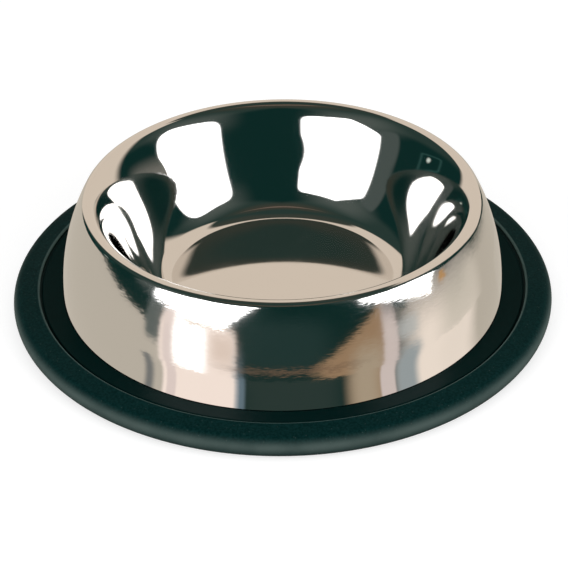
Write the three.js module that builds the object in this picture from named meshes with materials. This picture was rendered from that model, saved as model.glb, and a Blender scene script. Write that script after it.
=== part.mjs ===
// A non-tip pet bowl: one drawn sheet of stainless steel with a rubber ring gripping its foot.
// The sheet makes the pan, turns over a rolled rim and comes down outside as a bowed, flared skirt.
// At the bottom the skirt turns out into a flat foot flange, which sits in the ring's groove. The
// ring closes over it up to the skirt, so that no flange shows.
// Millimetres and degrees, +Z up, origin on the table under the middle of the bowl.
import * as THREE from "three";

// Driving dimensions of the steel sheet

const GAUGE = 0.6; // thickness of the sheet
const RIM_HEIGHT = 35.4; // crest of the rim above the table
const RIM_CREST_RADIUS = 56.2; // radius of the circle along the crest
const RIM_ROLL = 2.4; // outside radius of the roll over the rim
const PAN_DEPTH = 30.2; // crest of the rim down to the pan's floor
const PAN_FLOOR_RADIUS = 32.5; // flat part of the pan's floor
const PAN_COVE = 8; // inside radius where the floor turns up
const COVE_TURN = 42; // slope at which the cove runs out into the wall
const ROLL_TURN = 43; // slope at which the wall runs into the roll
const WALL_LOWER_SWEEP = 10.5; // how far the wall follows the cove's slope before it steepens
const WALL_UPPER_SWEEP = 8.2; // how far it follows the roll's slope at its top
const SKIRT_BOW = 60; // large outside radius of the bowed skirt
const FOOT_COVE = 1.2; // outside radius between the skirt and the flange
const FLANGE_START_RADIUS = 66.2; // where the foot cove runs out into the flat flange
const FLANGE_WIDTH = 10.1; // flat flange, out to its trimmed edge

// Driving dimensions of the rubber ring

const RUBBER_UNDER = 3.4; // rubber between the flange and the table
const RUBBER_OVER = 2.9; // rubber over the flange at the crest, its thickest place
const RUBBER_BEYOND = 3.7; // rubber outside the flange's edge
const CREST_INSIDE_EDGE = 4.2; // from the flange's edge in to the crest's inner wall
const LINE_WIDTH = 0.7; // moulded line that parts the crest from the band inside it
const LINE_DEPTH = 0.7; // depth of that line under the band
const BAND_OVER_OUTSIDE = 2.1; // rubber over the flange where the band ends at the line
const BAND_OVER_INSIDE = 1.1; // rubber over the flange where the band ends at the skirt
const SOLE_COVER = 7; // how far the sole reaches in under the flange
const SIDE_ROUND = 3.3; // radius of the ring's round outer side
const CREST_ROUND = 0.6; // radius along the crest
const BAND_ROUND = 0.35; // radius along the band's outer edge
const GROOVE_PLAY = 0.1; // between the flange and each face of the groove

const TURN_STEPS = 72; // flats round the circumference

// Levels and radii that follow from them

const flangeUnder = RUBBER_UNDER + GROOVE_PLAY;
const flangeTop = flangeUnder + GAUGE;
const flangeEdge = FLANGE_START_RADIUS + FLANGE_WIDTH;
const floorTop = RIM_HEIGHT - PAN_DEPTH;
const grooveTop = flangeTop + GROOVE_PLAY;
const grooveUnder = flangeUnder - GROOVE_PLAY;

const steel = new THREE.MeshStandardMaterial({ color: 0xcfc8c0, roughness: 0.12, metalness: 1 });
const rubber = new THREE.MeshStandardMaterial({ color: 0x15201f, roughness: 0.8, metalness: 0 });

// In a section plane x is the radius and y the height. Angles turn from +x towards +y.
const DOWN = -Math.PI / 2;
const at = (x, y) => new THREE.Vector2(x, y);
const bearing = (from, to) => Math.atan2(to.y - from.y, to.x - from.x);
const onCircle = (centre, radius, angle) =>
  at(centre.x + radius * Math.cos(angle), centre.y + radius * Math.sin(angle));

// Centre of the cove between the skirt and the flange. The ring's inner edge runs round it too.
const footCentre = at(FLANGE_START_RADIUS, flangeTop + FOOT_COVE);

// The centre of a circle that touches two others, from how far it lies from each of their centres.
// Of the two places it could have, it takes the one to the right of the way from a to b.
function touchingCentre(a, reachA, b, reachB) {
  const apart = a.distanceTo(b);
  const open = Math.acos((reachA ** 2 + apart ** 2 - reachB ** 2) / (2 * reachA * apart));
  return onCircle(a, reachA, bearing(a, b) - open);
}

function arc(centre, radius, from, to) {
  return new THREE.EllipseCurve(centre.x, centre.y, radius, radius, from, to, to < from);
}

// A soft S that leaves its first end at slope `from` and reaches its last at slope `to`.
function sweep(start, from, lower, end, to, upper) {
  const leave = onCircle(start, lower, from);
  const arrive = onCircle(end, -upper, to);
  return new THREE.CubicBezierCurve(start, leave, arrive, end);
}

// Points along a curve, set off to its right by a depth.
function pointsBeside(curve, steps, depth) {
  return Array.from({ length: steps + 1 }, (_, i) => {
    const point = curve.getPoint(i / steps);
    const way = curve.getTangent(i / steps);
    return at(point.x + depth * way.y, point.y - depth * way.x);
  });
}

// The sheet's section. Its show face runs from the axis over floor, cove, wall, rim, skirt and foot
// cove to the flange's edge, each curve running on smoothly from the one before it. The hidden face
// lies one gauge behind it all the way.
function sheetSection() {
  const cove = at(PAN_FLOOR_RADIUS, floorTop + PAN_COVE);
  const roll = at(RIM_CREST_RADIUS, RIM_HEIGHT - RIM_ROLL);
  const skirt = touchingCentre(roll, SKIRT_BOW - RIM_ROLL, footCentre, SKIRT_BOW + FOOT_COVE);
  const coveSlope = THREE.MathUtils.degToRad(COVE_TURN);
  const rollSlope = THREE.MathUtils.degToRad(ROLL_TURN);
  const wallFoot = onCircle(cove, PAN_COVE, DOWN + coveSlope);
  const wallTop = onCircle(roll, RIM_ROLL, rollSlope - DOWN);
  const skirtTop = bearing(skirt, roll);
  const skirtFoot = bearing(skirt, footCentre);
  const runs = [
    [arc(cove, PAN_COVE, DOWN, DOWN + coveSlope), 4],
    [sweep(wallFoot, coveSlope, WALL_LOWER_SWEEP, wallTop, rollSlope, WALL_UPPER_SWEEP), 8],
    [arc(roll, RIM_ROLL, rollSlope - DOWN, skirtTop), 9],
    [arc(skirt, SKIRT_BOW, skirtTop, skirtFoot), 5],
    [arc(footCentre, FOOT_COVE, skirtFoot + Math.PI, Math.PI - DOWN), 6],
  ];
  const face = (depth) => [
    at(0, floorTop - depth),
    at(PAN_FLOOR_RADIUS, floorTop - depth),
    ...runs.flatMap(([curve, steps]) => pointsBeside(curve, steps, depth).slice(1)),
    at(flangeEdge, flangeTop - depth),
  ];
  return [...face(GAUGE), ...face(0).reverse()];
}

// The ring's section: the sole, the round side, the top that slopes up to the crest, the moulded
// line, the band that slopes down to the skirt, the inner edge round the foot cove, the groove that
// holds the flange, and the sole's inner wall.
function ringSection() {
  const crestRadius = flangeEdge - CREST_INSIDE_EDGE;
  const lineRadius = crestRadius - LINE_WIDTH;
  const bandTop = grooveTop + BAND_OVER_OUTSIDE;
  const lineBottom = bandTop - LINE_DEPTH;
  const soleRadius = flangeEdge - SOLE_COVER;
  const grooveRadius = flangeEdge + GROOVE_PLAY;
  const footReach = FOOT_COVE - GROOVE_PLAY;
  const side = at(flangeEdge + RUBBER_BEYOND - SIDE_ROUND, SIDE_ROUND);
  const crest = at(crestRadius + CREST_ROUND, grooveTop + RUBBER_OVER - CREST_ROUND);
  const bandEdge = at(lineRadius - BAND_ROUND, bandTop - BAND_ROUND);
  const slope = bearing(crest, side) + Math.acos((CREST_ROUND - SIDE_ROUND) / crest.distanceTo(side));
  const bandFoot = Math.PI + Math.asin((footCentre.y - grooveTop - BAND_OVER_INSIDE) / footReach);
  const besideSkirt = onCircle(footCentre, footReach, bandFoot);
  const open = Math.acos(BAND_ROUND / besideSkirt.distanceTo(bandEdge));
  const bandSlope = bearing(besideSkirt, bandEdge) + Math.PI - open;
  return [
    at(soleRadius, 0),
    ...arc(side, SIDE_ROUND, DOWN, slope).getPoints(10),
    ...arc(crest, CREST_ROUND, slope, Math.PI).getPoints(4),
    at(crestRadius, lineBottom),
    at(lineRadius, lineBottom),
    ...arc(bandEdge, BAND_ROUND, 0, bandSlope).getPoints(3),
    ...arc(footCentre, footReach, bandFoot, Math.PI - DOWN).getPoints(4),
    at(grooveRadius, grooveTop),
    at(grooveRadius, grooveUnder),
    at(soleRadius, grooveUnder),
    at(soleRadius, 0),
  ];
}

// Turns a section about +Z. A lathe turns about +Y, so the result is stood upright.
function turned(name, section, material) {
  const mesh = new THREE.Mesh(new THREE.LatheGeometry(section, TURN_STEPS), material);
  mesh.name = name;
  mesh.rotation.x = Math.PI / 2;
  return mesh;
}

const bowl = new THREE.Group();
bowl.add(turned("bowl_shell", sheetSection(), steel));
bowl.add(turned("rubber_ring", ringSection(), rubber));

export default bowl;
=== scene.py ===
from math import acos, asin, atan2, cos, pi, radians, sin, tan, tau

import bpy
from mathutils import Matrix, Vector
from mathutils.geometry import interpolate_bezier


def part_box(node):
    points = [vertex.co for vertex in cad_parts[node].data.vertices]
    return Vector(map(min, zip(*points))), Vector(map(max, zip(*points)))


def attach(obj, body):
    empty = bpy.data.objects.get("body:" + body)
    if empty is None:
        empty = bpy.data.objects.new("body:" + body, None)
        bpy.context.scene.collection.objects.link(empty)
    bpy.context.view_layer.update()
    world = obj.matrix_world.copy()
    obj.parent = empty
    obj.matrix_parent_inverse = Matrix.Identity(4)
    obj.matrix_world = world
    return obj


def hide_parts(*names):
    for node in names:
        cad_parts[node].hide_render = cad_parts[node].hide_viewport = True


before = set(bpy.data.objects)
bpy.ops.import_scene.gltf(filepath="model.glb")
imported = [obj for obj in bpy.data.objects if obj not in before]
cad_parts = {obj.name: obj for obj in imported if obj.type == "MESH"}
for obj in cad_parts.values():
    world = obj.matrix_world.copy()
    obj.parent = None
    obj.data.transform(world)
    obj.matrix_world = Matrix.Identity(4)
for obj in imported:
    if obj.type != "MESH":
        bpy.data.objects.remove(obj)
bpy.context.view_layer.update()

# A non-tip pet bowl: one drawn shell of stainless steel, and the black rubber ring on its foot.
# Metres, +Z up. The bowl stands on the floor with its axis on Z, and the camera looks along +Y.

shell_low, shell_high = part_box("bowl_shell")
ring_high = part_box("rubber_ring")[1]

MM = 0.001

# The steel sheet
GAUGE = 0.6 * MM
RIM_CREST_RADIUS = 56.2 * MM
RIM_ROLL = 2.4 * MM
PAN_DEPTH = 30.2 * MM
PAN_FLOOR_RADIUS = 32.5 * MM
PAN_COVE = 8 * MM
COVE_TURN = radians(42)
ROLL_TURN = radians(43)
WALL_LOWER_SWEEP = 10.5 * MM
WALL_UPPER_SWEEP = 8.2 * MM
SKIRT_BOW = 60 * MM
FOOT_COVE = 1.2 * MM
FLANGE_START_RADIUS = 66.2 * MM

# The rubber ring
RUBBER_OVER = 2.9 * MM
CREST_INSIDE_EDGE = 4.2 * MM
LINE_WIDTH = 0.7 * MM
LINE_DEPTH = 0.7 * MM
BAND_OVER_OUTSIDE = 2.1 * MM
BAND_OVER_INSIDE = 1.1 * MM
SOLE_COVER = 7 * MM
SIDE_ROUND = 3.3 * MM
CREST_ROUND = 0.6 * MM
BAND_ROUND = 0.35 * MM
GROOVE_PLAY = 0.1 * MM
RUBBER_EDGE_ROUND = 0.12 * MM

# Levels and radii that the frame gives
rim_height = shell_high.z
flange_edge = shell_high.x
flange_top = shell_low.z + GAUGE
floor_top = rim_height - PAN_DEPTH
ring_radius = ring_high.x
crest_top = ring_high.z
groove_top = crest_top - RUBBER_OVER
groove_under = shell_low.z - GROOVE_PLAY
groove_radius = flange_edge + GROOVE_PLAY
crest_radius = flange_edge - CREST_INSIDE_EDGE
line_radius = crest_radius - LINE_WIDTH
band_top = groove_top + BAND_OVER_OUTSIDE
line_bottom = band_top - LINE_DEPTH
sole_radius = flange_edge - SOLE_COVER

TURN_STEPS = 288
SMOOTH_ANGLE = radians(30)
DOWN = -pi / 2


# Sections are drawn in the XZ plane, with x as the radius. Angles turn from +X towards +Z.

def at(radius, height):
    return Vector((radius, 0, height))


def on_circle(centre, radius, angle):
    return centre + Vector((radius * cos(angle), 0, radius * sin(angle)))


def bearing(start, end):
    return atan2(end.z - start.z, end.x - start.x)


def touching_centre(a, reach_a, b, reach_b):
    """The centre of a circle that touches two others, from how far it lies from each of theirs."""
    apart = (b - a).length
    opening = acos((reach_a ** 2 + apart ** 2 - reach_b ** 2) / (2 * reach_a * apart))
    return on_circle(a, reach_a, bearing(a, b) - opening)


def start_section(name, point):
    """A new mesh of one selected point, left open in edit mode."""
    bpy.ops.object.select_all(action="DESELECT")
    bpy.ops.mesh.primitive_plane_add(size=10 * MM)
    piece = bpy.context.object
    piece.name = name
    piece.data.name = name
    bpy.ops.object.mode_set(mode="EDIT")
    bpy.ops.mesh.select_all(action="SELECT")
    bpy.ops.mesh.merge(type="CENTER")
    bpy.ops.mesh.select_all(action="SELECT")
    bpy.ops.transform.translate(value=point)
    return point


def draw_line(pen, end, steps=1):
    """Extrudes the selected point to another in equal steps, and gives back where it is."""
    stride = (end - pen) / steps
    for _ in range(steps):
        bpy.ops.mesh.extrude_vertices_move(TRANSFORM_OT_translate={"value": stride})
    return end


def draw_arc(pen, centre, turn, steps):
    """Spins the selected point about a centre. A positive turn goes from +X towards +Z."""
    bpy.ops.mesh.spin(steps=steps, angle=turn, center=centre, axis=(0, 1, 0))
    return centre + Matrix.Rotation(-turn, 3, "Y") @ (pen - centre)


def draw_sweep(pen, leave, arrive, end, steps):
    """Extrudes the selected point along a soft S that has two handles."""
    for point in interpolate_bezier(pen, leave, arrive, end, steps + 1)[1:]:
        pen = draw_line(pen, point)
    return pen


def turn_section():
    """Spins the section about Z into a skin and merges its poles and ends."""
    bpy.ops.mesh.select_all(action="SELECT")
    bpy.ops.mesh.spin(steps=TURN_STEPS, angle=tau, center=(0, 0, 0), axis=(0, 0, 1))
    bpy.ops.mesh.select_all(action="SELECT")
    bpy.ops.mesh.remove_doubles(threshold=0.001 * MM)
    bpy.ops.mesh.normals_make_consistent(inside=False)
    bpy.ops.object.mode_set(mode="OBJECT")
    return bpy.context.object


def face_up(skin):
    """Makes an open skin look up as a whole. Blender merges faces in no fixed order and a few may
    lean under, as at the skirt's foot, so all of them count by their area."""
    if sum(face.area * face.normal.z for face in skin.data.polygons) < 0:
        skin.data.flip_normals()


def make_bowl_shell():
    """The show face is drawn from the axis over floor, cove, wall, rim, skirt and foot to the
    flange's edge and turned, and then the sheet gets its gauge behind it."""
    cove = at(PAN_FLOOR_RADIUS, floor_top + PAN_COVE)
    roll = at(RIM_CREST_RADIUS, rim_height - RIM_ROLL)
    foot = at(FLANGE_START_RADIUS, flange_top + FOOT_COVE)
    skirt = touching_centre(roll, SKIRT_BOW - RIM_ROLL, foot, SKIRT_BOW + FOOT_COVE)
    roll_start = ROLL_TURN - DOWN
    wall_top = on_circle(roll, RIM_ROLL, roll_start)
    upper_handle = on_circle(wall_top, -WALL_UPPER_SWEEP, ROLL_TURN)

    pen = start_section("steel_bowl_shell", at(0, floor_top))
    pen = draw_line(pen, at(PAN_FLOOR_RADIUS, floor_top), 10)
    pen = draw_arc(pen, cove, COVE_TURN, 14)
    pen = draw_sweep(pen, on_circle(pen, WALL_LOWER_SWEEP, COVE_TURN), upper_handle, wall_top, 36)
    pen = draw_arc(pen, roll, bearing(skirt, roll) - roll_start, 36)
    pen = draw_arc(pen, skirt, bearing(skirt, foot) - bearing(skirt, roll), 24)
    pen = draw_arc(pen, foot, -DOWN - bearing(skirt, foot), 10)
    draw_line(pen, at(flange_edge, flange_top), 4)
    shell = turn_section()
    face_up(shell)

    sheet = shell.modifiers.new("sheet", "SOLIDIFY")
    sheet.thickness = GAUGE
    sheet.offset = -1
    sheet.use_even_offset = True
    bpy.ops.object.modifier_apply(modifier=sheet.name)
    bpy.ops.object.shade_smooth_by_angle(angle=SMOOTH_ANGLE)
    return shell


def make_rubber_ring():
    """The ring's section: sole, round side, slope up to the crest, moulded line, band that falls
    to the skirt, inner edge round the foot cove, and the groove that holds the flange."""
    foot_reach = FOOT_COVE - GROOVE_PLAY
    side = at(ring_radius - SIDE_ROUND, SIDE_ROUND)
    crest = at(crest_radius + CREST_ROUND, crest_top - CREST_ROUND)
    slope = bearing(crest, side) + acos((CREST_ROUND - SIDE_ROUND) / (side - crest).length)
    band_edge = at(line_radius - BAND_ROUND, band_top - BAND_ROUND)
    foot = at(FLANGE_START_RADIUS, flange_top + FOOT_COVE)
    band_foot = pi + asin((foot.z - groove_top - BAND_OVER_INSIDE) / foot_reach)
    beside_skirt = on_circle(foot, foot_reach, band_foot)
    opening = acos(BAND_ROUND / (band_edge - beside_skirt).length)
    band_slope = bearing(beside_skirt, band_edge) + pi - opening

    pen = start_section("grip_ring", at(sole_radius, 0))
    pen = draw_line(pen, on_circle(side, SIDE_ROUND, DOWN), 4)
    pen = draw_arc(pen, side, slope - DOWN, 30)
    pen = draw_line(pen, on_circle(crest, CREST_ROUND, slope), 8)
    pen = draw_arc(pen, crest, pi - slope, 12)
    pen = draw_line(pen, at(crest_radius, line_bottom), 4)
    pen = draw_line(pen, at(line_radius, line_bottom), 2)
    pen = draw_line(pen, on_circle(band_edge, BAND_ROUND, 0))
    pen = draw_arc(pen, band_edge, band_slope, 8)
    pen = draw_line(pen, beside_skirt, 10)
    pen = draw_arc(pen, foot, pi - DOWN - band_foot, 8)
    pen = draw_line(pen, at(groove_radius, groove_top), 6)
    pen = draw_line(pen, at(groove_radius, groove_under))
    pen = draw_line(pen, at(sole_radius, groove_under), 4)
    draw_line(pen, at(sole_radius, 0), 3)
    ring = turn_section()

    corners = ring.modifiers.new("corners", "BEVEL")
    corners.width = RUBBER_EDGE_ROUND
    corners.segments = 2
    corners.limit_method = "ANGLE"
    corners.angle_limit = radians(60)
    bpy.ops.object.modifier_apply(modifier=corners.name)
    bpy.ops.object.shade_smooth_by_angle(angle=SMOOTH_ANGLE)
    return ring


# How the steel and the rubber look. Leans say how far the polishing strokes tip the surface.
STEEL_COLOUR = (0.80, 0.785, 0.765)
PAN_LEAN = 0.01
SKIRT_LEAN = 0.10
SIDE_LEAN_SHARE = 0.25
# Heights of the rubber's painted sheen, a paler band low on its outer side
SHEEN_TOP = 6.4 * MM
SHEEN_HEIGHT = 4.2 * MM
SHEEN_BOTTOM = 1.2 * MM


# Materials are node trees, filled by these helpers

def put(tree, kind, *inputs, **settings):
    """Adds a node, sets its options and fills its inputs in order with numbers or sockets."""
    node = tree.nodes.new(kind)
    for option, value in settings.items():
        setattr(node, option, value)
    for socket, value in zip(node.inputs, inputs):
        if isinstance(value, bpy.types.NodeSocket):
            tree.links.new(value, socket)
        elif value is not None:
            socket.default_value = value
    return node


def calculate(tree, operation, *inputs):
    return put(tree, "ShaderNodeMath", *inputs, operation=operation).outputs[0]


def fade(tree, value, start, end, low=0.0, high=1.0):
    """A value between two limits, turned smoothly into one between low and high."""
    node = put(tree, "ShaderNodeMapRange", value, start, end, low, high, interpolation_type="SMOOTHSTEP")
    return node.outputs[0]


def blend_colour(tree, factor, under, over):
    """Over laid on under as far as the factor says."""
    node = tree.nodes.new("ShaderNodeMix")
    node.data_type = "RGBA"
    for name, value in (("Factor_Float", factor), ("A_Color", under), ("B_Color", over)):
        socket = next(each for each in node.inputs if each.identifier == name)
        if isinstance(value, bpy.types.NodeSocket):
            tree.links.new(value, socket)
        else:
            socket.default_value = value if name == "Factor_Float" else (*value, 1)
    return next(each for each in node.outputs if each.identifier == "Result_Color")


def add_noise(tree, position, scale, detail):
    noise = put(tree, "ShaderNodeTexNoise", position)
    noise.inputs["Scale"].default_value = scale
    noise.inputs["Detail"].default_value = detail
    return noise.outputs[0]


def see_from_above(tree, parts):
    """A point's place in the XY plane, and its distance from the axis."""
    flat = put(tree, "ShaderNodeCombineXYZ", parts["X"], parts["Y"]).outputs[0]
    return flat, put(tree, "ShaderNodeVectorMath", flat, operation="LENGTH").outputs["Value"]


def new_material(name):
    """An empty material and its output node."""
    material = bpy.data.materials.new(name)
    material.use_nodes = True
    material.node_tree.nodes.clear()
    return material, material.node_tree, material.node_tree.nodes.new("ShaderNodeOutputMaterial")


def new_group(name, inputs, outputs):
    """A shader node group with float or vector sockets, each given with its kind."""
    group = bpy.data.node_groups.new(name, "ShaderNodeTree")
    for socket, kind in inputs:
        group.interface.new_socket(socket, in_out="INPUT", socket_type="NodeSocket" + kind)
    for socket, kind in outputs:
        group.interface.new_socket(socket, in_out="OUTPUT", socket_type="NodeSocket" + kind)
    return group, group.nodes.new("NodeGroupInput"), group.nodes.new("NodeGroupOutput")


def use_group(tree, group, **values):
    """Places a group, its inputs filled by name with underscores for the spaces."""
    node = tree.nodes.new("ShaderNodeGroup")
    node.node_tree = group
    for name, value in values.items():
        socket = node.inputs[name.replace("_", " ").capitalize()]
        if isinstance(value, bpy.types.NodeSocket):
            tree.links.new(value, socket)
        else:
            socket.default_value = value
    return node


def make_turned_grain():
    """Fine strokes that run round the axis, as turning and polishing leave them. Each stroke leans
    the surface a little, which breaks up the edges of what it mirrors."""
    group, given, result = new_group(
        "turned_grain",
        [("Position", "Vector"), ("Surface", "Vector"), ("Strokes round", "Float"),
         ("Strokes per metre", "Float"), ("Lean", "Float")],
        [("Grain", "Float"), ("Radius", "Float"), ("Normal", "Vector")],
    )
    split = put(group, "ShaderNodeSeparateXYZ", given.outputs["Position"]).outputs
    flat, radius = see_from_above(group, split)
    round_way = put(group, "ShaderNodeVectorMath", flat, operation="NORMALIZE").outputs[0]
    turn = put(group, "ShaderNodeSeparateXYZ", round_way).outputs
    along = given.outputs["Strokes round"]
    across = given.outputs["Strokes per metre"]
    place = put(
        group,
        "ShaderNodeCombineXYZ",
        calculate(group, "MULTIPLY", turn["X"], along),
        calculate(group, "MULTIPLY", turn["Y"], along),
        calculate(group, "MULTIPLY", split["Z"], across),
    ).outputs[0]
    noise = put(group, "ShaderNodeTexNoise", place, noise_dimensions="4D")
    group.links.new(calculate(group, "MULTIPLY", radius, across), noise.inputs["W"])
    noise.inputs["Scale"].default_value = 1
    noise.inputs["Detail"].default_value = 2
    parts = put(group, "ShaderNodeSeparateColor", noise.outputs["Color"]).outputs
    lean = given.outputs["Lean"]
    side_lean = calculate(group, "MULTIPLY", lean, SIDE_LEAN_SHARE)
    up_lean = calculate(group, "MULTIPLY", calculate(group, "SUBTRACT", parts["Green"], 0.5), lean)
    round_lean = calculate(group, "MULTIPLY", calculate(group, "SUBTRACT", parts["Red"], 0.5), side_lean)
    left_way = calculate(group, "MULTIPLY", turn["Y"], -1)
    tilt = put(
        group,
        "ShaderNodeCombineXYZ",
        calculate(group, "MULTIPLY", left_way, round_lean),
        calculate(group, "MULTIPLY", turn["X"], round_lean),
        up_lean,
    ).outputs[0]
    leaned = put(group, "ShaderNodeVectorMath", given.outputs["Surface"], tilt, operation="ADD").outputs[0]
    normal = put(group, "ShaderNodeVectorMath", leaned, operation="NORMALIZE").outputs[0]
    group.links.new(noise.outputs[0], result.inputs["Grain"])
    group.links.new(radius, result.inputs["Radius"])
    group.links.new(normal, result.inputs["Normal"])
    return group


def make_steel():
    """Polished stainless steel: near a mirror in the pan, with a fine turned satin on the skirt."""
    material, tree, output = new_material("polished_steel")
    position = put(tree, "ShaderNodeTexCoord").outputs["Object"]
    surface = put(tree, "ShaderNodeNewGeometry").outputs["Normal"]
    broad = use_group(
        tree, turned_grain, position=position, surface=surface,
        strokes_round=3, strokes_per_metre=900, lean=0,
    )
    outside = fade(tree, broad.outputs["Radius"], RIM_CREST_RADIUS, RIM_CREST_RADIUS + RIM_ROLL)
    fine = use_group(
        tree, turned_grain, position=position, surface=surface,
        strokes_round=34, strokes_per_metre=3600,
        lean=calculate(tree, "MULTIPLY_ADD", outside, SKIRT_LEAN - PAN_LEAN, PAN_LEAN),
    )
    smudge = add_noise(tree, position, 45, 4)

    shader = put(tree, "ShaderNodeBsdfPrincipled")
    shader.inputs["Base Color"].default_value = (*STEEL_COLOUR, 1)
    shader.inputs["Metallic"].default_value = 1
    polish = fade(tree, smudge, 0.45, 0.75, 0.04, 0.07)
    satin = calculate(tree, "MULTIPLY_ADD", broad.outputs["Grain"], 0.05, 0.065)
    roughness = put(tree, "ShaderNodeMix", outside, None, polish, satin)
    tree.links.new(roughness.outputs[0], shader.inputs["Roughness"])
    tree.links.new(fine.outputs["Normal"], shader.inputs["Normal"])
    tree.links.new(shader.outputs[0], output.inputs["Surface"])
    return material


def make_rubber():
    """Moulded black rubber, a little dusty, with a painted sheen where the slope turns into the round side,
    a painted highlight on the crest's inner edge and painted shade on the band inside the line.
    """
    material, tree, output = new_material("black_rubber")
    position = put(tree, "ShaderNodeTexCoord").outputs["Object"]
    parts = put(tree, "ShaderNodeSeparateXYZ", position).outputs
    height = parts["Z"]
    radius = see_from_above(tree, parts)[1]
    grain = add_noise(tree, position, 1800, 3)
    cloud = add_noise(tree, position, 90, 5)
    specks = put(tree, "ShaderNodeTexVoronoi", position)
    specks.inputs["Scale"].default_value = 700
    speck = fade(tree, specks.outputs["Distance"], 0.14, 0.05)

    mottled = fade(tree, add_noise(tree, position, 1500, 3), 0.35, 0.65)
    colour = blend_colour(tree, mottled, (0.0006, 0.0122, 0.0118), (0.0026, 0.0200, 0.0192))
    # Painted sheen: the rubber is paler where the slope turns into the round side, fading towards the sole
    below_slope = fade(tree, height, SHEEN_TOP, SHEEN_HEIGHT)
    above_sole = fade(tree, height, SHEEN_BOTTOM, SHEEN_HEIGHT, 0.2, 1)
    sheen = calculate(tree, "MULTIPLY", below_slope, above_sole)
    pale = calculate(tree, "MULTIPLY", sheen, fade(tree, cloud, 0.25, 0.65, 0.7, 1))
    colour = blend_colour(tree, pale, colour, (0.056, 0.080, 0.074))
    colour = blend_colour(tree, calculate(tree, "MULTIPLY", speck, 0.3), colour, (0.09, 0.11, 0.10))

    outer_band = fade(tree, radius, line_radius, crest_radius)
    # Painted highlight: a paler line along the crest's inner top edge
    near_line = fade(tree, radius, crest_radius + 0.8 * MM, crest_radius + 0.2 * MM)
    crest_edge = fade(tree, height, crest_top - 0.9 * MM, crest_top - 0.4 * MM)
    painted_edge_highlight = calculate(tree, "MULTIPLY", calculate(tree, "MULTIPLY", near_line, outer_band), crest_edge)
    colour = blend_colour(tree, painted_edge_highlight, colour, (0.075, 0.12, 0.11))
    # Painted shade: the low band inside the moulded line, beside the skirt, gets a darker colour than the
    # outer band
    colour = blend_colour(tree, outer_band, (0.0003, 0.0105, 0.0098), colour)
    shader = put(tree, "ShaderNodeBsdfPrincipled", colour)
    shader.inputs["IOR"].default_value = 1.5
    shader.inputs["Specular IOR Level"].default_value = 0.018
    matt = fade(tree, cloud, 0.3, 0.7, 0.42, 0.52)
    roughness = put(tree, "ShaderNodeMix", outer_band, None, 0.48, matt).outputs[0]
    tree.links.new(roughness, shader.inputs["Roughness"])
    bump = tree.nodes.new("ShaderNodeBump")
    bump.inputs["Strength"].default_value = 0.35
    bump.inputs["Distance"].default_value = 0.03 * MM
    tree.links.new(grain, bump.inputs["Height"])
    tree.links.new(bump.outputs[0], shader.inputs["Normal"])
    tree.links.new(shader.outputs[0], output.inputs["Surface"])
    return material


# The studio: a pale floor, two soft lamps and, for the polished steel to mirror, a glowing dome with
# a painted picture of the room and its soft boxes, and a glowing collar card over the ring

PLAIN_LEVEL_FROM_WORLD = 0.6
FLOOR_SIZE = 8
FLOOR_GREY = 0.5
FLOOR_LIFT = 0.62
LAMP_DISTANCE = 0.9
LAMP_RADIANCE = 3.5
DOME_RADIUS = 6
# Glow of the soft boxes painted on the dome
PAINTED_SOFT_BOX = (3, 2.95, 2.9)
COLLAR_START_RADIUS = 65.1 * MM
COLLAR_START_HEIGHT = 5.4 * MM
COLLAR_HEIGHT = 7.4 * MM
COLLAR_END_RADIUS = 84 * MM
COLLAR_SHIFT_SHARE = 0.75
COLLAR_ELEVATION = -27

# The camera, fitted to the bowl's outlines
CAMERA_DISTANCE = 0.5895
CAMERA_RISE = radians(33.959)
CAMERA_DIP = radians(33.68)
CAMERA_SIDE_TURN = radians(0.048)
CAMERA_ROLL = radians(-0.653)
CAMERA_LENS = 124.41


def add_camera():
    data = bpy.data.cameras.new("camera")
    data.lens = CAMERA_LENS
    data.sensor_width = 36
    data.clip_start = 0.01
    camera = bpy.data.objects.new("camera", data)
    camera.rotation_mode = "XYZ"
    place = Vector((0, -cos(CAMERA_RISE), sin(CAMERA_RISE))) * CAMERA_DISTANCE
    turn = Matrix.Rotation(-CAMERA_SIDE_TURN, 3, "Z") @ Matrix.Rotation(pi / 2 - CAMERA_DIP, 3, "X")
    aim = turn @ Matrix.Rotation(CAMERA_ROLL, 3, "Z")
    camera.matrix_world = Matrix.Translation(place) @ aim.to_4x4()
    bpy.context.collection.objects.link(camera)
    bpy.context.scene.camera = camera


def towards(azimuth, elevation):
    """The way to a place round the bowl, in degrees: azimuth 0 is behind it and 90 to its right."""
    a, e = radians(azimuth), radians(elevation)
    return Vector((sin(a) * cos(e), cos(a) * cos(e), sin(e)))


def add_lamp(name, azimuth, elevation, width, height):
    """A soft box of the given width and height in degrees, aimed at the bowl."""
    data = bpy.data.lights.new(name, "AREA")
    data.shape = "RECTANGLE"
    data.size = 2 * LAMP_DISTANCE * tan(radians(width / 2))
    data.size_y = 2 * LAMP_DISTANCE * tan(radians(height / 2))
    data.energy = LAMP_RADIANCE * pi * data.size * data.size_y
    lamp = bpy.data.objects.new(name, data)
    way = towards(azimuth, elevation)
    aim = way.to_track_quat("Z", "Y").to_matrix().to_4x4()
    lamp.matrix_world = Matrix.Translation(way * LAMP_DISTANCE) @ aim
    lamp.visible_camera = False
    lamp.visible_glossy = False
    bpy.context.collection.objects.link(lamp)


def background_rays(tree):
    """1 for camera, glossy and transmission rays, which see the plain white background."""
    path = put(tree, "ShaderNodeLightPath").outputs
    seen = calculate(tree, "MAXIMUM", path["Is Camera Ray"], path["Is Glossy Ray"])
    return calculate(tree, "MAXIMUM", seen, path["Is Transmission Ray"])


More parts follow.
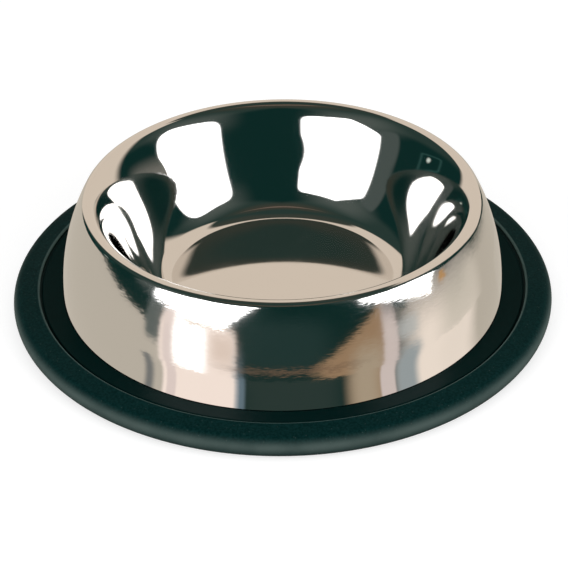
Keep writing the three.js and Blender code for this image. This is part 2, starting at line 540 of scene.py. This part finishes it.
def add_world():
    world = bpy.data.worlds.new("white_studio")
    world.use_nodes = True
    tree = world.node_tree
    tree.nodes.clear()
    strength = fade(tree, background_rays(tree), 0, 1, PLAIN_LEVEL_FROM_WORLD, 1)
    light = put(tree, "ShaderNodeBackground", (1, 1, 1, 1), strength)
    output = tree.nodes.new("ShaderNodeOutputWorld")
    tree.links.new(light.outputs[0], output.inputs["Surface"])
    bpy.context.scene.world = world


def add_floor():
    bpy.ops.object.select_all(action="DESELECT")
    bpy.ops.mesh.primitive_plane_add(size=FLOOR_SIZE)
    floor = bpy.context.object
    floor.name = "floor"
    material, tree, output = new_material("pale_floor")
    matt = put(tree, "ShaderNodeBsdfDiffuse", (FLOOR_GREY, FLOOR_GREY, FLOOR_GREY, 1))
    lift = calculate(tree, "MULTIPLY", background_rays(tree), FLOOR_LIFT)
    glow = put(tree, "ShaderNodeEmission", (1, 1, 1, 1), lift)
    both = put(tree, "ShaderNodeAddShader", matt.outputs[0], glow.outputs[0])
    tree.links.new(both.outputs[0], output.inputs["Surface"])
    floor.data.materials.append(material)
    floor.visible_glossy = False


def make_card_mask():
    """A soft-edged card on the dome: 1 on the card and 0 off it. Everything is in degrees.
    Lean slants its sides, tilt slants its top and bottom, and a high squareness makes it a box."""
    names = ["Azimuth", "Elevation", "Middle azimuth", "Middle elevation", "Half width",
             "Half height", "Lean", "Tilt", "Softness", "Squareness"]
    group, given, result = new_group("card_mask", [(name, "Float") for name in names], [("Mask", "Float")])
    value = given.outputs
    off = calculate(group, "SUBTRACT", value["Azimuth"], value["Middle azimuth"])
    across = calculate(group, "WRAP", off, 180, -180)
    up = calculate(group, "SUBTRACT", value["Elevation"], value["Middle elevation"])
    slanted_across = calculate(group, "SUBTRACT", across, calculate(group, "MULTIPLY", up, value["Lean"]))
    slanted_up = calculate(group, "SUBTRACT", up, calculate(group, "MULTIPLY", across, value["Tilt"]))
    parts = []
    for way, half in ((slanted_across, value["Half width"]), (slanted_up, value["Half height"])):
        share = calculate(group, "DIVIDE", calculate(group, "ABSOLUTE", way), half)
        parts.append(calculate(group, "POWER", share, value["Squareness"]))
    total = calculate(group, "ADD", *parts)
    reach = calculate(group, "POWER", total, calculate(group, "DIVIDE", 1, value["Squareness"]))
    smaller = calculate(group, "MINIMUM", value["Half width"], value["Half height"])
    edge = calculate(group, "DIVIDE", value["Softness"], smaller)
    outer = calculate(group, "ADD", 1, edge)
    inner = calculate(group, "SUBTRACT", 1, edge)
    group.links.new(fade(group, reach, outer, inner), result.inputs["Mask"])
    return group


class Cards:
    """Lays painted cards one over another, each with a colour as the steel shows it in its painted
    reflection. Places are in degrees.
    """

    def __init__(self, tree, azimuth, elevation, base):
        self.tree = tree
        self.azimuth = azimuth
        self.elevation = elevation
        self.picture = tree.nodes.new("ShaderNodeRGB").outputs[0]
        self.picture.default_value = (*self.lit(base), 1)

    def right_of(self, azimuth, soft=1.5):
        """1 in the half of the studio to the right of a place."""
        off = calculate(self.tree, "SUBTRACT", self.azimuth, azimuth)
        return fade(self.tree, calculate(self.tree, "WRAP", off, 180, -180), -soft, soft)

    def above(self, azimuth, elevation, slope=0, soft=1.5):
        """1 above a line through a place that climbs by slope for each degree to the right."""
        off = calculate(self.tree, "SUBTRACT", self.azimuth, azimuth)
        across = calculate(self.tree, "WRAP", off, 180, -180)
        line = calculate(self.tree, "MULTIPLY_ADD", across, slope, elevation)
        return fade(self.tree, calculate(self.tree, "SUBTRACT", self.elevation, line), -soft, soft)

    def outside(self, mask):
        return calculate(self.tree, "SUBTRACT", 1, mask)

    def common(self, *masks):
        """What lies in all of the masks."""
        whole = masks[0]
        for mask in masks[1:]:
            whole = calculate(self.tree, "MULTIPLY", whole, mask)
        return whole

    def lit(self, colour):
        return tuple(part / steel for part, steel in zip(colour, STEEL_COLOUR))

    def lay(self, mask, colour):
        self.picture = blend_colour(self.tree, mask, self.picture, self.lit(colour))

    def mask(self, azimuth, elevation, lean=0, tilt=0, soft=1.5, square=6):
        left, right = azimuth
        bottom, top = elevation
        node = use_group(
            self.tree, card_mask, azimuth=self.azimuth, elevation=self.elevation,
            middle_azimuth=(left + right) / 2, middle_elevation=(bottom + top) / 2,
            half_width=(right - left) / 2, half_height=(top - bottom) / 2,
            lean=lean, tilt=tilt, softness=soft, squareness=square,
        )
        return node.outputs["Mask"]

    def card(self, azimuth, elevation, colour, strength=1, **form):
        mask = self.mask(azimuth, elevation, **form)
        if strength != 1:
            mask = calculate(self.tree, "MULTIPLY", mask, strength)
        self.lay(mask, colour)


def make_studio_picture():
    """The painted picture of what stands round the bowl, its soft boxes included, found by azimuth and
    elevation.
    """
    group, given, result = new_group(
        "studio_picture", [("Azimuth", "Float"), ("Elevation", "Float")], [("Picture", "Color")]
    )
    cards = Cards(group, given.outputs["Azimuth"], given.outputs["Elevation"], (0.004, 0.021, 0.018))

    # The brownish ceiling comes lower at the sides than in front, and has one bright seam
    away = calculate(group, "ABSOLUTE", cards.azimuth)
    ceiling_edge = calculate(group, "MULTIPLY_ADD", away, 0.3, 4)
    over_edge = calculate(group, "SUBTRACT", cards.elevation, ceiling_edge)
    cards.lay(fade(group, over_edge, -4, 4), (0.020, 0.038, 0.032))
    cards.card((-65, 65), (55, 80), (0.036, 0.042, 0.033), soft=6)
    cards.card((120, 240), (58, 74), (0.042, 0.042, 0.031), soft=5)
    cards.card((135, 225), (63.2, 65.4), (0.15, 0.11, 0.085), soft=0.7)

    # A dim frame with a small bright window in the dark room on the left
    cards.card((-80, -62), (5, 17), (0.022, 0.062, 0.054), soft=0.8, square=10)
    cards.card((-78.5, -63.5), (6, 16), (0.004, 0.021, 0.018), soft=0.8, square=10)
    cards.card((-74.5, -71.5), (10.5, 14), (0.55, 0.60, 0.53), soft=0.9, square=2)

    # The pale table round the bowl, dark in front
    cards.card((-119, 30), (-95, 2), (0.46, 0.41, 0.34), soft=1.5, tilt=0.08, square=12)
    cards.card((20, 80), (-95, -10), (0.44, 0.39, 0.32), soft=3, tilt=0.28)
    cards.card((158, 202), (-15, 14), (0.015, 0.035, 0.031), soft=6, square=3)
    cards.card((68, 118), (-95, 1), (0.80, 0.69, 0.59), soft=9, tilt=0.2)
    cards.card((68, 96), (-24, -2), (0.36, 0.34, 0.27), soft=7, square=3, strength=0.5)
    cards.card((150, 203), (-95, -22), (0.025, 0.040, 0.034), soft=6)

    # The pale backdrop behind
    left_edge = fade(group, calculate(group, "MULTIPLY_ADD", cards.elevation, 0.25, cards.azimuth), -41, -36)
    right_edge = fade(group, calculate(group, "MULTIPLY_ADD", cards.elevation, -0.5, cards.azimuth), 57, 49)
    over_table = fade(group, cards.elevation, 1, 4)
    under_ceiling = fade(group, cards.elevation, 62, 58)
    cards.lay(cards.common(left_edge, right_edge, over_table, under_ceiling), (0.60, 0.505, 0.41))

    # The left soft box with its glow above, and its shine on the table below
    cards.card((-152, -98), (28, 50), (0.07, 0.085, 0.075), soft=8, square=3)
    cards.card((-112, -97), (8, 31), (0.06, 0.075, 0.068), soft=1.5)
    cards.card((-157.5, -117.5), (-95, 7), (0.88, 0.74, 0.65), soft=1.2, square=12)
    cards.card((-142, -125.5), (-22, 8), (1.5, 1.45, 1.4), soft=3, square=4)
    cards.card((-156.5, -145), (-13, 3), (0.46, 0.32, 0.23), soft=4, square=3, strength=0.42)
    cards.card((-149, -131), (4.2, 6.6), (0.50, 0.37, 0.27), soft=0.9, tilt=-0.1)
    left_box = cards.common(
        cards.mask((-166, -111.5), (-5, 40), soft=1.2, square=8),
        cards.above(-130, 7, slope=0.05), cards.above(-148, 4, slope=-1.05),
        cards.outside(cards.above(-120, 32, slope=-0.8)),
    )
    cards.lay(left_box, PAINTED_SOFT_BOX)
    cards.card((-125, -119.8), (-95, 7), (0.70, 0.58, 0.53), soft=0.8)
    cards.card((-117.5, -109.5), (-12, 6), (0.10, 0.115, 0.105), soft=1.4, square=4)
    cards.card((-112, -107), (-30, -23), (0.17, 0.17, 0.16), soft=2, square=2)
    cards.card((-160.5, -156), (-95, -20), (0.16, 0.22, 0.26), soft=1.5)

    # The right soft box with its glow above, and the dark line under it
    cards.card((90, 140), (28, 50), (0.07, 0.085, 0.075), soft=8, square=3)
    under_right_box = cards.above(119, 4.6, slope=0.38, soft=0.8)
    dark_line = cards.common(cards.mask((116, 140), (0, 20), soft=2), under_right_box)
    cards.lay(dark_line, (0.012, 0.032, 0.028))
    right_box = cards.common(
        cards.mask((93, 139), (-14, 39), soft=1.2, square=4.5),
        cards.above(119, 8.6, slope=0.38, soft=0.8), cards.above(101, 2, slope=-1.3, soft=0.8),
    )
    cards.lay(right_box, PAINTED_SOFT_BOX)
    cards.card((88.5, 93.5), (1, 4.6), (0.45, 0.23, 0.065), soft=1, square=2.5)

    # Warm and cool strips low on the right, and the wedge of brown that runs out into a line
    cards.card((111.5, 123), (-11, -1), (0.43, 0.44, 0.42), soft=2.5, square=3, strength=0.8)
    cards.card((109.5, 122), (-33, -15), (0.29, 0.32, 0.32), soft=3, square=3)
    wedge = cards.common(
        cards.right_of(130), cards.outside(cards.right_of(172, soft=4)),
        cards.outside(cards.above(134.5, 9, slope=-0.75, soft=3)), cards.above(133, -34, slope=0.52, soft=3),
    )
    cards.lay(wedge, (0.29, 0.185, 0.105))
    cards.card((131, 147), (-34, -7), (0.38, 0.31, 0.22), soft=5, square=2.5, strength=0.85)
    cards.card((122.8, 131), (-95, 8.5), (0.57, 0.48, 0.44), soft=0.8, tilt=0.45)
    cards.card((150, 201), (-16, -13.8), (0.15, 0.095, 0.06), soft=0.9)
    group.links.new(cards.picture, result.inputs["Picture"])
    return group


def glow_with(tree, azimuth, elevation):
    """An emission that shows what the studio's picture has at a place."""
    picture = use_group(tree, studio_picture, azimuth=azimuth, elevation=elevation).outputs["Picture"]
    return put(tree, "ShaderNodeEmission", picture, 1).outputs[0]


def place_round_bowl(tree):
    """The azimuth in degrees, the distance from the axis and the height of a point."""
    position = put(tree, "ShaderNodeTexCoord").outputs["Object"]
    parts = put(tree, "ShaderNodeSeparateXYZ", position).outputs
    radius = see_from_above(tree, parts)[1]
    azimuth = calculate(tree, "DEGREES", calculate(tree, "ARCTAN2", parts["X"], parts["Y"]))
    return azimuth, radius, parts["Z"]


def stage_for_glossy_rays(card):
    card.visible_camera = False
    card.visible_diffuse = False
    card.visible_transmission = False
    card.visible_volume_scatter = False
    card.visible_shadow = False


def add_dome():
    """A glowing dome round the studio that carries its painted picture, seen only by glossy rays as a
    painted reflection.
    """
    bpy.ops.object.select_all(action="DESELECT")
    bpy.ops.mesh.primitive_uv_sphere_add(segments=64, ring_count=32, radius=DOME_RADIUS)
    dome = bpy.context.object
    dome.name = "studio_dome"
    material, tree, output = new_material("painted_studio_reflection")
    azimuth, radius, height = place_round_bowl(tree)
    elevation = calculate(tree, "DEGREES", calculate(tree, "ARCTAN2", height, radius))
    tree.links.new(glow_with(tree, azimuth, elevation), output.inputs["Surface"])
    dome.data.materials.append(material)
    stage_for_glossy_rays(dome)


def add_collar():
    """A glowing card over the ring, seen only by glossy rays, on which the painted picture in the skirt runs
    on down to the foot, a painted reflection in place of the ring's. A ray that the skirt sends out crosses
    the card a little further round than it left the skirt."""
    start_section("ring_collar", at(COLLAR_START_RADIUS, COLLAR_START_HEIGHT))
    crest = draw_line(at(COLLAR_START_RADIUS, COLLAR_START_HEIGHT), at(crest_radius, COLLAR_HEIGHT))
    draw_line(crest, at(COLLAR_END_RADIUS, COLLAR_HEIGHT))
    collar = turn_section()
    face_up(collar)

    material, tree, output = new_material("painted_ring_reflection_card")
    azimuth, radius, height = place_round_bowl(tree)
    from_front = calculate(tree, "WRAP", calculate(tree, "SUBTRACT", azimuth, 180), 180, -180)
    near_front = calculate(tree, "MINIMUM", calculate(tree, "MAXIMUM", from_front, -60), 60)
    spread = calculate(tree, "TANGENT", calculate(tree, "RADIANS", near_front))
    run = calculate(tree, "DIVIDE", calculate(tree, "SUBTRACT", radius, COLLAR_START_RADIUS), radius)
    shift = calculate(tree, "DEGREES", calculate(tree, "MULTIPLY", spread, run))
    left_at = calculate(tree, "MULTIPLY_ADD", shift, -COLLAR_SHIFT_SHARE, from_front)
    sent_to = calculate(tree, "MULTIPLY_ADD", left_at, 2, 180)
    mirrored = calculate(tree, "WRAP", sent_to, 180, -180)
    clear = put(tree, "ShaderNodeBsdfTransparent").outputs[0]
    behind = put(tree, "ShaderNodeNewGeometry").outputs["Backfacing"]
    # Painted reflection: the card's face glows with the studio's picture, and its back lets rays through
    card = put(tree, "ShaderNodeMixShader", behind, glow_with(tree, mirrored, COLLAR_ELEVATION), clear)
    tree.links.new(card.outputs[0], output.inputs["Surface"])
    collar.data.materials.append(material)
    stage_for_glossy_rays(collar)


def finish_piece(piece, node, material):
    """The piece stands for its CAD node, rides with the bowl and gets its finish."""
    piece.data.materials.clear()
    piece.data.materials.append(material)
    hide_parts(node)
    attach(piece, "root")


turned_grain = make_turned_grain()
card_mask = make_card_mask()
studio_picture = make_studio_picture()

add_camera()
finish_piece(make_bowl_shell(), "bowl_shell", make_steel())
finish_piece(make_rubber_ring(), "rubber_ring", make_rubber())
add_floor()
add_world()
add_dome()
add_collar()
add_lamp("left_soft_box", -128, 17, 46, 42)
add_lamp("right_soft_box", 122, 19, 46, 40)
bpy.context.scene.view_settings.view_transform = "Standard"
